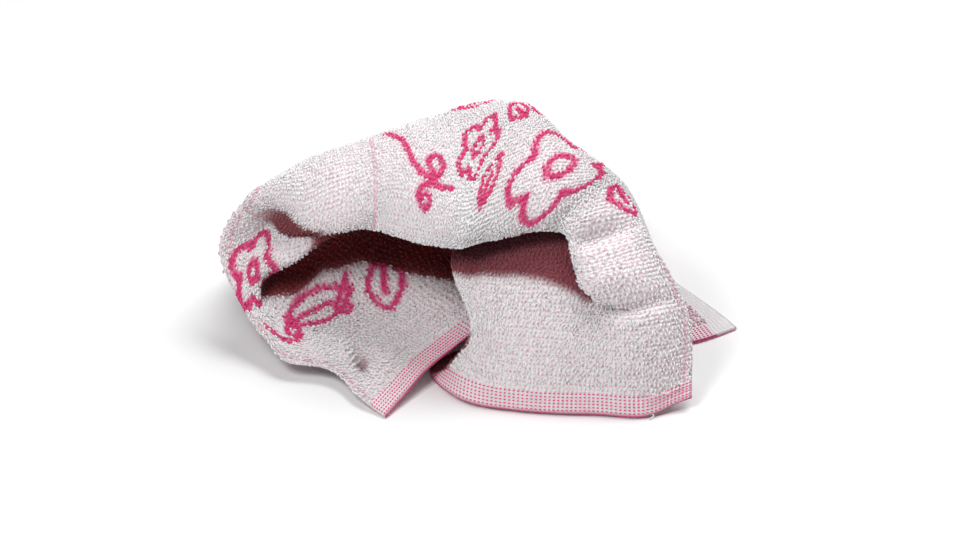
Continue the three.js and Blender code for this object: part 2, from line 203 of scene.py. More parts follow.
# Small rolls of the cloth between the folds: across, along, length of the roll's half, half width,
# turn in degrees from across, height (a trough is below zero)
SOFT_ROLLS = [
    (100, 150, 30, 7, 62, 0.9), (128, 140, 22, 6, 75, -0.8), (160, 150, 26, 8, 95, 0.8),
    (190, 140, 24, 7, 110, -0.7), (60, 150, 20, 6, 60, -0.9), (230, 122, 22, 6, 100, 0.8),
    (165, 45, 34, 9, 84, 0.7), (200, 40, 30, 8, 97, -0.8), (245, 50, 30, 7, 90, -0.8),
    (150, 30, 18, 6, 80, -0.7), (30, 60, 22, 6, 30, 0.8), (52, 45, 20, 6, 40, -0.8),
    (20, 95, 14, 6, 70, 0.8), (24, 28, 10, 4.4, 14, -5.6), (20, 37, 11, 4.5, 14, 2.2),
    (28, 18, 12, 4.5, 10, 3.0), (243, 90, 11, 6, 0, -6.0), (236, 66, 14, 8, 0, 4.6),
    (236, 50, 21, 3.8, 3, -5.4), (26, 140, 22, 5, -14, -2.4), (95, 235, 40, 11, 85, 1.2),
    (150, 240, 44, 10, 94, -1.2), (190, 235, 40, 10, 99, 1.2), (35, 225, 36, 9, 80, -1.2),
    (250, 215, 36, 8, 92, -1.0),
]


def smooth_step(edge0: float, edge1: float, value: Array) -> Array:
    """Rises from 0 where value is edge0 to 1 where it is edge1, as 3t^2 - 2t^3."""
    t = np.clip((value - edge0) / (edge1 - edge0), 0.0, 1.0)
    return t * t * (3.0 - 2.0 * t)


def unit(vectors: Array) -> Array:
    """Vectors scaled to length 1."""
    return vectors / np.maximum(np.linalg.norm(vectors, axis=-1, keepdims=True), 1e-9)


def flat_grid(columns: int, rows: int) -> tuple[Array, Array]:
    """Across and along of an even grid over the flat cloth, column by column."""
    grid = np.meshgrid(np.linspace(0, WIDTH, columns), np.linspace(0, LENGTH, rows), indexing="ij")
    return grid[0].ravel(), grid[1].ravel()


@dataclass
class Spots:
    """Places on the draped cloth: centres, the outward direction of its face, and its two slopes."""

    centre: Array
    normal: Array
    ahead: Array
    up: Array


class Drape:
    """The cloth's map from its flat rectangle to space.

    A point of the cloth is a weighted sum of the cubed distances, on the flat cloth, to all guides,
    plus a flat tilt. The weights make it pass close by every guide.
    """

    UNIT = 100.0  # keeps the cubed distances near 1
    REACH = 1.0  # step over which the cloth's slope is read
    BOX_GRID = (91, 141)  # places across and along at which the heap's box is read
    LEAST_STRETCH = 0.2  # keeps a slope finite where the map is pinched

    def __init__(self) -> None:
        """Solves the weights and moves the heap's box centre to the origin."""
        guides = np.vstack([np.array(rows, float) for rows in FOLDS] + [self.heel_guides()])
        self.spots = guides[:, :2] / self.UNIT
        gaps = self.spots[:, None] - self.spots[None]
        cubes = np.linalg.norm(gaps, axis=2) ** 3 + EASE * np.eye(len(guides))
        tilt = np.c_[np.ones(len(guides)), self.spots]
        matrix = np.block([[cubes, tilt], [tilt.T, np.zeros((3, 3))]])
        self.weights = np.linalg.solve(matrix, np.vstack([guides[:, 2:], np.zeros((3, 3))]))
        self.shift = np.zeros(3)
        spots = self.at(*flat_grid(*self.BOX_GRID))
        shell = np.vstack([spots.centre + side * REST_HEIGHT * spots.normal for side in (-1, 1)])
        box_centre = (shell.min(axis=0) + shell.max(axis=0)) / 2
        self.shift = np.array([box_centre[0], box_centre[1], 0.0])

    @staticmethod
    def heel_guides() -> Array:
        """The heel's rows, read at even stations across, each with its round section."""
        across = np.linspace(0, WIDTH, HEEL_STATIONS + 1)
        heel = np.array(HEEL, float)
        along, x, y = (np.interp(across, heel[:, 0], heel[:, k]) for k in (1, 2, 3))
        rows = [
            np.c_[across, along + step, x, y - forward, np.full(len(across), height)]
            for step, forward, height in HEEL_SECTION
        ]
        return np.vstack(rows)

    def middle(self, across: Array, along: Array) -> Array:
        """Points of the cloth's middle, no lower than it rests."""
        flat = np.c_[across, along] / self.UNIT
        points = np.empty((len(flat), 3))
        for start in range(0, len(flat), MAP_BATCH):
            part = flat[start : start + MAP_BATCH]
            square = ((part[:, None] - self.spots[None]) ** 2).sum(axis=2)
            terms = np.c_[square * np.sqrt(square), np.ones(len(part)), part]
            points[start : start + MAP_BATCH] = terms @ self.weights
        points -= self.shift
        points[:, 2] = np.maximum(points[:, 2], REST_HEIGHT)
        return points

    @staticmethod
    def rolls(across: Array, along: Array) -> Array:
        """Height of the small rolls: a bell across each roll times a wider bell along it."""
        height = np.zeros(len(across))
        for a, b, half_length, half_width, turn, rise in SOFT_ROLLS:
            c, s = math.cos(math.radians(turn)), math.sin(math.radians(turn))
            p = (across - a) * c + (along - b) * s
            q = -(across - a) * s + (along - b) * c
            height += rise * np.exp(-((p / half_length) ** 2) - (q / half_width) ** 2)
        return height

    def at(self, across: Array, along: Array) -> Spots:
        """Centres, normals and slopes at places on the flat cloth, with the small rolls.

        Args:
            across: millimetres from the left selvedge.
            along: millimetres from the near hem.

        Returns:
            The spots, whose normal points out of the white face.
        """
        reach, span = self.REACH, 2 * self.REACH
        ahead = (self.middle(across + reach, along) - self.middle(across - reach, along)) / span
        up = (self.middle(across, along + reach) - self.middle(across, along - reach)) / span
        normal = unit(np.cross(ahead, up))
        rise = self.rolls(across, along)
        lean_ahead = (self.rolls(across + reach, along) - self.rolls(across - reach, along)) / span
        lean_up = (self.rolls(across, along + reach) - self.rolls(across, along - reach)) / span
        centre = self.middle(across, along) + rise[:, None] * normal
        centre[:, 2] = np.maximum(centre[:, 2], REST_HEIGHT)
        least = self.LEAST_STRETCH
        slope_ahead = ahead / np.maximum((ahead**2).sum(axis=1, keepdims=True), least)
        slope_up = up / np.maximum((up**2).sum(axis=1, keepdims=True), least)
        normal = unit(normal - lean_ahead[:, None] * slope_ahead - lean_up[:, None] * slope_up)
        return Spots(centre, normal, unit(ahead), unit(up))


# Painted shade: zones deep in the folds that lie in shadow, where the cloth's colour is darkened and
# reddened. Each zone has the columns across, along from, along to, how much shade, up to 2
PAINTED_SHADE_HOLLOW = [
    (50, 80, 122, 2.0), (57, 73, 122, 2.0), (70, 64, 116, 2.0), (76, 55, 114, 2.0),
    (81, 42, 113, 2.0), (85, 33, 112, 2.0), (95, 34, 112, 2.0), (108, 44, 112, 1.9),
    (120, 50, 112, 1.8), (133, 50, 113, 1.6), (150, 57, 113, 1.2),
    (165, 61, 113, 1.0), (181, 61, 112, 1.0), (192, 59, 110, 1.0), (201, 56, 108, 1.0),
    (212, 52, 102, 1.0), (218, 52, 98, 1.0), (222, 55, 93, 1.0), (226, 62, 86, 0.9),
]
PAINTED_SHADE_POCKET = [
    (24, 87, 90, 1.6), (30, 84, 96, 2.0), (36, 80, 98, 2.0), (41, 76, 99, 2.0), (47, 76, 101, 2.0),
    (54, 76, 104, 2.0),
]
PAINTED_SHADE_VALLEY = [
    (8, 139, 141, 0.3), (14, 136, 144, 0.6), (25, 131, 143, 1.1), (39, 125, 138, 1.7),
    (50, 120, 131, 2.0),
]
PAINTED_SHADE_PINCH = [(14, 25, 28, 0.2), (20, 24, 30, 0.6), (26, 25, 31, 0.7), (32, 28, 31, 0.4)]
PAINTED_SHADE_UNDER_FLAP = [
    (118, -6, 26, 1.8), (130, -5, 26, 1.8), (138, 5, 26, 1.7), (148, 13, 27, 1.4), (156, 21, 31, 1.0),
    (160, 26, 32, 0.4),
]
PAINTED_SHADE_ZONES = (PAINTED_SHADE_HOLLOW, PAINTED_SHADE_POCKET, PAINTED_SHADE_VALLEY, PAINTED_SHADE_PINCH, PAINTED_SHADE_UNDER_FLAP)
PAINTED_SHADE_EDGE = 2.5  # half the width over which a zone fades, along the cloth
PAINTED_SHADE_END = 3.0  # and across it


def painted_shade_at(across: Array, along: Array) -> Array:
    """How much shade is painted on the cloth: 2 deep in a fold that lies in shadow, 0 in the open.

    Args:
        across: millimetres from the left selvedge.
        along: millimetres from the near hem.

    Returns:
        The largest, over the zones, of a step up past its first line times a step down at its last.
    """
    painted_shade = np.zeros(len(across))
    for zone in PAINTED_SHADE_ZONES:
        rows = np.array(zone, float)
        first, last, level = (np.interp(across, rows[:, 0], rows[:, k]) for k in (1, 2, 3))
        rise = smooth_step(-PAINTED_SHADE_EDGE, PAINTED_SHADE_EDGE, along - first)
        fall = smooth_step(-PAINTED_SHADE_EDGE, PAINTED_SHADE_EDGE, last - along)
        start = smooth_step(-PAINTED_SHADE_END, PAINTED_SHADE_END, across - rows[0, 0])
        end = smooth_step(-PAINTED_SHADE_END, PAINTED_SHADE_END, rows[-1, 0] - across)
        painted_shade = np.maximum(painted_shade, level * rise * fall * start * end)
    return painted_shade


class Motif(Enum):
    """The kinds of outline in the pink drawing."""

    FLOWER = "flower"
    LEAF = "leaf"
    SCROLL = "scroll"


FLOWER, LEAF, SCROLL = Motif
# The drawing: kind, across, along, size, turn in degrees, width of its stroke
DRAWING = [
    (FLOWER, 206, 141, 25, 10, 3.8), (FLOWER, 141, 168, 16, 40, 3.4),
    (SCROLL, 84, 178, 46, -48, 3.8), (SCROLL, 128, 148, 30, 196, 3.4),
    (LEAF, 160, 136, 24, 70, 3.4), (LEAF, 176, 178, 24, 150, 3.2),
    (LEAF, 247, 122, 26, -70, 3.6), (SCROLL, 236, 162, 34, 120, 3.4),
    (FLOWER, 18, 106, 18, 25, 4.2), (LEAF, 27, 68, 34, -14, 3.4),
    (SCROLL, 10, 82, 30, -62, 3.2), (LEAF, 79, 60, 28, -128, 3.4),
    (SCROLL, 62, 66, 20, -140, 3.4), (FLOWER, 58, 232, 24, 0, 3.8),
    (FLOWER, 146, 250, 26, 20, 3.8), (FLOWER, 222, 222, 22, 50, 3.8),
    (SCROLL, 100, 268, 22, 160, 3.6), (SCROLL, 186, 268, 40, 120, 3.6),
    (LEAF, 100, 226, 28, 30, 3.4), (LEAF, 186, 226, 28, 160, 3.4),
    (LEAF, 24, 190, 26, 60, 3.4), (SCROLL, 246, 256, 30, 200, 3.4),
    (FLOWER, 22, 262, 17, 10, 3.6), (LEAF, 36, 290, 28, 20, 3.4),
    (FLOWER, 104, 305, 22, 10, 3.8), (SCROLL, 52, 276, 30, 80, 3.4),
    (LEAF, 138, 288, 26, -10, 3.4), (FLOWER, 206, 308, 22, 30, 3.8),
    (LEAF, 248, 288, 28, 80, 3.4), (LEAF, 118, 202, 26, 10, 3.2),
    (SCROLL, 40, 204, 32, -30, 3.4), (FLOWER, 186, 198, 15, 0, 3.4),
    (LEAF, 240, 190, 24, 20, 3.2),
]
FRAME_INSET = 4.0  # the thin frame line inside each selvedge
FRAME_HALF_WIDTH = 1.0
TOP_LINE_ACROSS = 76.0  # the frame line that crosses the top sheet
TOP_LINE_ALONG = (118.0, 176.0)


class Drawing:
    """The line drawing that the pink loops make, as strokes on the flat cloth."""

    STEP = 0.8  # spacing of the points that stand for a stroke
    PETALS = 5
    WAIST = 0.62  # a flower's radius between two petals, as a share of its size
    EYE = 0.24  # the radius of its ring
    BULGE = 0.26  # half a leaf's width, as a share of its length
    RIB = 0.66  # the length of its midrib
    STEM = 1.55  # a scroll's whole length, as a share of its size
    STEM_BEND = 0.7  # its first even bend, radians for each size
    CURL_FROM = 0.35  # where its curl starts
    CURL = 5.6  # how fast the curl tightens
    FAR = -99.0  # stands for a place outside every stroke

    def __init__(self) -> None:
        """Lays out each motif's outline as points with the half width of its stroke."""
        strokes = [self.outline(*row) for row in DRAWING]
        self.points = np.vstack([points for points, _ in strokes])
        self.half = np.concatenate([np.full(len(points), width / 2) for points, width in strokes])

    def outline(
        self, kind: Motif, across: float, along: float, size: float, turn: float, width: float
    ) -> tuple[Array, float]:
        """Points of one motif.

        Args:
            kind: which motif.
            across: its place across the cloth.
            along: its place along the cloth.
            size: its radius, or its length from end to end.
            turn: its turn from across, in degrees.
            width: the width of its stroke.

        Returns:
            The points on the flat cloth and the stroke's width.
        """
        if kind is Motif.FLOWER:
            # round petals, r = size (waist + (1 - waist) |sin 2.5 t|), round a small ring
            t = np.arange(0, 2 * math.pi, self.STEP / size)
            r = size * (self.WAIST + (1 - self.WAIST) * np.abs(np.sin(self.PETALS / 2 * t)))
            ring = np.full(len(t), size * self.EYE)
            circle = np.c_[np.cos(t), np.sin(t)]
            curve = np.vstack([r[:, None] * circle, ring[:, None] * circle])
        elif kind is Motif.LEAF:
            # two sides that bulge as half sine waves, and a midrib
            t = np.arange(0, 1, self.STEP / size)
            bulge = self.BULGE * size * np.sin(math.pi * t)
            rib = t[t < self.RIB]
            curve = np.vstack(
                [np.c_[size * t, bulge], np.c_[size * t, -bulge], np.c_[size * rib, 0 * rib]]
            )
        else:
            # a stem whose bend grows steadily to its end, so that it closes in a curl
            t = np.arange(0, self.STEM, self.STEP / size)
            heading = self.CURL * np.clip(t - self.CURL_FROM, 0, None) ** 2 - self.STEM_BEND * t
            steps = np.c_[np.cos(heading), np.sin(heading)] * self.STEP
            curve = np.cumsum(steps, axis=0)
        c, s = math.cos(math.radians(turn)), math.sin(math.radians(turn))
        return curve @ np.array([[c, s], [-s, c]]) + (across, along), width

    def covers(self, across: Array, along: Array) -> Array:
        """How far places lie inside a stroke, in millimetres, below zero outside."""
        inside = np.full(len(across), self.FAR)
        for start in range(0, len(across), STROKE_BATCH):
            part = slice(start, start + STROKE_BATCH)
            gap = np.hypot(across[part, None] - self.points[:, 0], along[part, None] - self.points[:, 1])
            inside[part] = (self.half - gap).max(axis=1)
        return inside


def frame_line(across: Array, along: Array) -> Array:
    """1 on the thin lines inside the selvedges and the one that crosses the top, else 0."""
    edge = np.minimum(across, WIDTH - across)
    border = np.abs(edge - FRAME_INSET) < FRAME_HALF_WIDTH
    first, last = TOP_LINE_ALONG
    inner = (np.abs(across - TOP_LINE_ACROSS) < FRAME_HALF_WIDTH) & (along > first) & (along < last)
    return (border | inner).astype(float)


def srgb(code: str) -> tuple[float, float, float, float]:
    """Linear colour of an sRGB hex code."""
    parts = [int(code[k : k + 2], 16) / 255 for k in (1, 3, 5)]
    linear = [p / 12.92 if p <= 0.04045 else ((p + 0.055) / 1.055) ** 2.4 for p in parts]
    return (*linear, 1.0)


def add_node(tree: NodeTree, kind: str, settings: dict, links: dict) -> Node:
    """Adds one node.

    Args:
        tree: the material's tree.
        kind: the node's type, without ShaderNode.
        settings: attributes by name, and input values by socket name or number.
        links: sockets that feed its inputs, by socket name or number.

    Returns:
        The node.
    """
    node = tree.nodes.new("ShaderNode" + kind)
    for key, value in settings.items():
        if isinstance(key, str) and hasattr(node, key):
            setattr(node, key, value)
        else:
            node.inputs[key].default_value = value
    for key, socket in links.items():
        tree.links.new(socket, node.inputs[key])
    return node


def new_material(name: str, roughness: float, sheen: float) -> tuple[Material, Node]:
    """A material with only its shader, whose constants are set on the shader's own sockets."""
    material = bpy.data.materials.new(name)
    material.use_nodes = True
    shader = material.node_tree.nodes["Principled BSDF"]
    shader.inputs["Roughness"].default_value = roughness
    shader.inputs["Sheen Weight"].default_value = sheen
    shader.inputs["Sheen Roughness"].default_value = 0.6
    shader.inputs["Specular IOR Level"].default_value = 0.2
    return material, shader


PAINTED_SHADE_TINTS = ("#94434F", "#CC2433")  # painted shade: darker and redder colours multiplied into the cotton in the shadowed folds, once and again


def with_painted_shade(tree: NodeTree, painted_shade: NodeSocket, colour: NodeSocket) -> NodeSocket:
    """Paints shade: darkens a cotton colour and reddens it where the cloth lies in shadow in the folds.

    Args:
        tree: the material's tree.
        painted_shade: how much shade is painted, from 0 to 2.
        colour: the unshaded colour.

    Returns:
        The socket of the colour with its painted shade.
    """
    for step, tint in enumerate(PAINTED_SHADE_TINTS):
        depth = add_node(
            tree, "Math", {"operation": "SUBTRACT", "use_clamp": True, 1: step}, {0: painted_shade}
        )
        colour = add_node(
            tree, "Mix", {"data_type": "RGBA", "blend_type": "MULTIPLY", 7: srgb(tint)},
            {0: depth.outputs[0], 6: colour},
        ).outputs[2]
    return colour


@dataclass(frozen=True)
class CottonTerryYarn:
    """Soft spun cotton yarn of the pile: matt, with a halo of fine fibres and a little unevenness.

    The attribute dye is 0 on white yarn and 1 on pink, tone is each loop's own shade, height is 0 at
    the loop's root and 1 at its top, fleck says how much of the pink ground's yarn came up with its
    root, and the attribute damp says how much shade is painted on it in the folds that lie in shadow.
    """

    white: str = "#FAF9FA"
    shaded_white: str = "#EEEAEC"
    pink: str = "#F5418E"
    shaded_pink: str = "#E02B7A"
    root: str = "#D0557F"
    fibre_mm: float = 0.35
    fibre_depth_mm: float = 0.1
    root_reach: float = 0.62  # how far up a loop the root's pink goes

    def make(self) -> Material:
        """Builds the material."""
        material, shader = new_material("cotton_terry_yarn", 0.95, 0.25)
        tree = material.node_tree
        reads = {
            name: add_node(tree, "Attribute", {"attribute_name": name}, {}).outputs["Fac"]
            for name in ("dye", "tone", "height", "fleck", "painted_shade")
        }
        white, pink = (
            add_node(
                tree, "Mix", {"data_type": "RGBA", 6: srgb(low), 7: srgb(high)}, {0: reads["tone"]}
            )
            for low, high in ((self.shaded_white, self.white), (self.shaded_pink, self.pink))
        )
        dyed = add_node(
            tree, "Mix", {"data_type": "RGBA"},
            {0: reads["dye"], 6: white.outputs[2], 7: pink.outputs[2]},
        )
        deep = add_node(
            tree, "MapRange", {"From Min": 0.0, "From Max": self.root_reach, "To Max": 0.0},
            {"Value": reads["height"], "To Min": reads["fleck"]},
        )
        colour = add_node(
            tree, "Mix", {"data_type": "RGBA", 7: srgb(self.root)},
            {0: deep.outputs[0], 6: dyed.outputs[2]},
        )
        # painted shade: the colour darkened and reddened where the cloth lies in shadow in the folds
        painted_shade = with_painted_shade(tree, reads["painted_shade"], colour.outputs[2])
        place = add_node(tree, "TexCoord", {}, {})
        fibres = add_node(
            tree, "TexNoise", {"Scale": 1 / (self.fibre_mm * MM), "Detail": 1.0},
            {"Vector": place.outputs["Object"]},
        )
        bump = add_node(
            tree, "Bump", {"Strength": 0.35, "Distance": self.fibre_depth_mm * MM},
            {"Height": fibres.outputs["Fac"]},
        )
        tree.links.new(painted_shade, shader.inputs["Base Color"])
        tree.links.new(bump.outputs[0], shader.inputs["Normal"])
        return material


@dataclass(frozen=True)
class WovenCottonGround:
    """Plain woven cotton under the pile: pink warp crossed by white weft, so it reads as pink dots.

    The UV map is the flat cloth in metres. The attribute drawn is 1 under the pink drawing, and plain
    says how much of the pink warp comes to the surface.
    """

    white: str = "#F2EEF0"
    pink: str = "#D63A7C"
    slack_mm: float = 9.0  # the weave wanders over this length
    slack_cells: float = 1.3  # by this many cells at most
    thread_mm: float = 0.3
    least_pink: float = 0.02
    most_pink: float = 0.5

    def make(self) -> Material:
        """Builds the material."""
        material, shader = new_material("woven_cotton_ground", 0.9, 0.2)
        tree = material.node_tree
        flat = add_node(tree, "UVMap", {"uv_map": "flat"}, {})
        cells = add_node(
            tree, "VectorMath", {"operation": "SCALE", "Scale": 1 / (LOOP_PITCH * MM)},
            {0: flat.outputs[0]},
        )
        slack = add_node(
            tree, "TexNoise", {"Scale": 1 / (self.slack_mm * MM), "Detail": 2.0},
            {"Vector": flat.outputs[0]},
        )
        most = (self.slack_cells, self.slack_cells, 0.0)
        moved = add_node(
            tree, "VectorMath", {"operation": "MULTIPLY_ADD", 1: most},
            {0: slack.outputs["Color"], 2: cells.outputs[0]},
        )
        split = add_node(tree, "SeparateXYZ", {}, {0: moved.outputs[0]})
        waves = [
            add_node(
                tree, "Math", {"operation": "SINE"},
                {0: turns.outputs[0]},
            ).outputs[0]
            for turns in (
                add_node(
                    tree, "Math", {"operation": "MULTIPLY", 1: 2 * math.pi}, {0: split.outputs[k]}
                )
                for k in (0, 1)
            )
        ]
        cross = add_node(tree, "Math", {"operation": "ADD"}, {0: waves[0], 1: waves[1]})
        dots = add_node(
            tree, "MapRange",
            {"From Min": 0.2, "From Max": 1.7, "To Min": self.least_pink, "To Max": self.most_pink},
            {"Value": cross.outputs[0]},
        )
        drawn = add_node(tree, "Attribute", {"attribute_name": "drawn"}, {})
        factor = add_node(
            tree, "Math", {"operation": "MAXIMUM"}, {0: dots.outputs[0], 1: drawn.outputs["Fac"]}
        )
        plain = add_node(tree, "Attribute", {"attribute_name": "plain"}, {})
        kept = add_node(
            tree, "Math", {"operation": "MULTIPLY"},
            {0: factor.outputs[0], 1: plain.outputs["Fac"]},
        )
        colour = add_node(
            tree, "Mix", {"data_type": "RGBA", 6: srgb(self.white), 7: srgb(self.pink)},
            {0: kept.outputs[0]},
        )
        # painted shade: the ground's colour darkened and reddened where it lies in shadow in the folds
        inner = add_node(tree, "Attribute", {"attribute_name": "painted_shade"}, {})
        painted_shade = with_painted_shade(tree, inner.outputs["Fac"], colour.outputs[2])
        bump = add_node(
            tree, "Bump", {"Strength": 0.6, "Distance": self.thread_mm * MM},
            {"Height": cross.outputs[0]},
        )
        tree.links.new(painted_shade, shader.inputs["Base Color"])
        tree.links.new(bump.outputs[0], shader.inputs["Normal"])
        return material


@dataclass(frozen=True)
class PaperSweep:
    """A white paper sweep under the towel, matt."""

    colour: str = "#FBFBFB"

    def make(self) -> Material:
        """Builds the material."""
        material, shader = new_material("white_paper_sweep", 0.8, 0.0)
        shader.inputs["Base Color"].default_value = srgb(self.colour)
        return material


def make_piece(
    name: str,
    points: Array,
    faces: Array,
    material: Material,
    attributes: dict[str, Array] | None = None,
    flat: Array | None = None,
) -> Object:
    """Puts worked out points and faces into a smooth mesh object at the origin.

    Args:
        name: the piece's name.
        points: vertices in millimetres, n by 3.
        faces: vertex numbers, m by 3 or m by 4.
        material: its finish.
        attributes: numbers for each vertex, by name.
        flat: the flat cloth's coordinates for each vertex, in metres.

    Returns:
        The object, linked to the scene.
    """
    mesh = bpy.data.meshes.new(name)
    sides = faces.shape[1]
    mesh.vertices.add(len(points))
    mesh.vertices.foreach_set("co", (points * MM).astype(np.float32).ravel())
    mesh.loops.add(faces.size)
    mesh.loops.foreach_set("vertex_index", faces.astype(np.int32).ravel())
    mesh.polygons.add(len(faces))
    mesh.polygons.foreach_set("loop_start", np.arange(0, faces.size, sides, dtype=np.int32))
    mesh.polygons.foreach_set("use_smooth", np.ones(len(faces), bool))
    mesh.update(calc_edges=True)
    for key, values in (attributes or {}).items():
        layer = mesh.attributes.new(key, "FLOAT", "POINT")
        layer.data.foreach_set("value", values.astype(np.float32))
    if flat is not None:
        layer = mesh.uv_layers.new(name="flat")
        layer.data.foreach_set("uv", flat[faces.ravel()].astype(np.float32).ravel())
    mesh.validate()
    mesh.materials.append(material)
    piece = bpy.data.objects.new(name, mesh)
    bpy.context.collection.objects.link(piece)
    return piece


def tube_points(axis: Array, hint: Array, radius: Array, sides: int) -> Array:
    """Vertices of tubes along bent lines: each tube's first point, its rings in order, its last point.

    Args:
        axis: the lines' points, tubes by stations by 3.
        hint: a direction off each line, from which its rings are turned.
        radius: the radius at each station, tubes or 1 by stations.
        sides: corners of a ring.

    Returns:
        Tubes by vertices by 3, none below the surface.
    """
    way = unit(np.gradient(axis, axis=1))
    side = unit(np.cross(way, np.broadcast_to(hint, way.shape)))
    over = np.cross(side, way)
    ring = 2 * math.pi * np.arange(sides) / sides
    spokes = (
        np.cos(ring)[:, None] * side[:, 1:-1, None] + np.sin(ring)[:, None] * over[:, 1:-1, None]
    )
    rings = axis[:, 1:-1, None] + radius[:, 1:-1, None, None] * spokes
    points = np.concatenate([axis[:, :1], rings.reshape(len(axis), -1, 3), axis[:, -1:]], axis=1)
    points[..., 2] = np.maximum(points[..., 2], LOWEST)
    return points


def tube_faces(sides: int, rings: int) -> Array:
    """Outward triangles of one tube: a fan at its first point, bands from ring to ring, a last fan."""
    k = np.arange(sides)
    after = (k + 1) % sides
    first = 1 + sides * np.arange(rings - 1)[:, None]
    second = first + sides
    bands = [
        np.stack(corners, axis=-1).reshape(-1, 3)
        for corners in (
            (second + after, first + after, first + k),
            (second + k, second + after, first + k),
        )
    ]
    last = 1 + (rings - 1) * sides
    start = np.c_[1 + k, 1 + after, np.zeros(sides, int)]
    end = np.c_[last + after, last + k, np.full(sides, 1 + rings * sides)]
    return np.vstack([start, *bands, end])


def make_copies(
    name: str, points: Array, template: Array, material: Material, looks: dict[str, Array]
) -> Object:
    """Makes one piece of many copies of a small closed shape.

    Args:
        name: the piece's name.
        points: the copies' vertices, copies by vertices by 3.
        template: the triangles of one copy.
        material: its finish.
        looks: numbers for each vertex, by name.

    Returns:
        The piece.
    """
    first = np.arange(points.shape[0]) * points.shape[1]
    faces = (template[None] + first[:, None, None]).reshape(-1, 3)
    return make_piece(name, points.reshape(-1, 3), faces, material, looks)


def open_yarn(painted_shade: Array, dye: float, tone: float) -> dict[str, Array]:
    """Attributes of yarn that lies open to view: one shade, with none of the ground's pink at a root."""
    count = len(painted_shade)
    return {
        "dye": np.full(count, dye),
        "tone": np.full(count, tone),
        "height": np.ones(count),
        "fleck": np.zeros(count),
        "painted_shade": painted_shade,
    }


@dataclass
class GroundCloth:
    """The woven sheet itself: two faces and four edges on a grid of one cell for each loop."""

    drape: Drape
    drawing: Drawing
    thickness: float = GROUND_THICKNESS
    columns: int = int(WIDTH / LOOP_PITCH) + 1
    rows: int = int(LENGTH / LOOP_PITCH) + 1

    STROKE_FADE = 0.6  # half the width over which a stroke's edge fades
    EDGE_FADE = (0.6, 1.4)  # where the dense pink edge of a hem ends
    HEM_START = 1.2  # where a hem's white weft starts
    HEM_PINK = 0.25  # how much pink shows on it
    STRIP = (10.0, 12.0)  # the plain white strip on the other face, from the right selvedge

    def make(self, material: Material) -> Object:
        """Builds the closed sheet."""
        across, along = flat_grid(self.columns, self.rows)
        spots = self.drape.at(across, along)
        points = np.vstack(
            [spots.centre + side * self.thickness / 2 * spots.normal for side in (1, -1)]
        )
        points[:, 2] = np.maximum(points[:, 2], LOWEST)
        fade = self.STROKE_FADE
        drawn = smooth_step(-fade, fade, self.drawing.covers(across, along))
        edge = self.hem_edge(along)
        plain = self.warp_shown(along)
        attributes = {
            "drawn": np.concatenate([np.maximum(drawn, edge), edge]),
            "plain": np.concatenate([plain, plain * smooth_step(*self.STRIP, WIDTH - across)]),
            # painted shade in the folds that lie in shadow, the same on both faces
            "painted_shade": np.tile(painted_shade_at(across, along), 2),
        }
        flat = np.tile(np.c_[across, along] * MM, (2, 1))
        return make_piece("towel_ground", points, self.quads(), material, attributes, flat)

    def warp_shown(self, along: Array) -> Array:
        """How much of the pink warp shows in the ground: all, or less on the hems' white weft."""
        edge = np.minimum(along, LENGTH - along)
        return np.where((edge < HEM_DEPTH) & (edge > self.HEM_START), self.HEM_PINK, 1.0)

    def hem_edge(self, along: Array) -> Array:
        """1 on the dense pink edge of each hem, else 0."""
        return 1 - smooth_step(*self.EDGE_FADE, np.minimum(along, LENGTH - along))

    def quads(self) -> Array:
        """Faces of the two sides and of the edges, all pointing outwards."""
        top = np.arange(self.columns * self.rows).reshape(self.columns, self.rows)
        low = top + top.size
        sheets = [
            np.stack([top[:-1, :-1], top[1:, :-1], top[1:, 1:], top[:-1, 1:]], -1),
            np.stack([low[:-1, :-1], low[:-1, 1:], low[1:, 1:], low[1:, :-1]], -1),
            np.stack([top[:-1, 0], low[:-1, 0], low[1:, 0], top[1:, 0]], -1),
            np.stack([top[1:, -1], low[1:, -1], low[:-1, -1], top[:-1, -1]], -1),
            np.stack([top[0, 1:], low[0, 1:], low[0, :-1], top[0, :-1]], -1),
            np.stack([top[-1, :-1], low[-1, :-1], low[-1, 1:], top[-1, 1:]], -1),
        ]
        return np.vstack([sheet.reshape(-1, 4) for sheet in sheets])


class Face(Enum):
    """A face of the cloth: which way its pile stands."""

    WHITE = 1
    REVERSE = -1


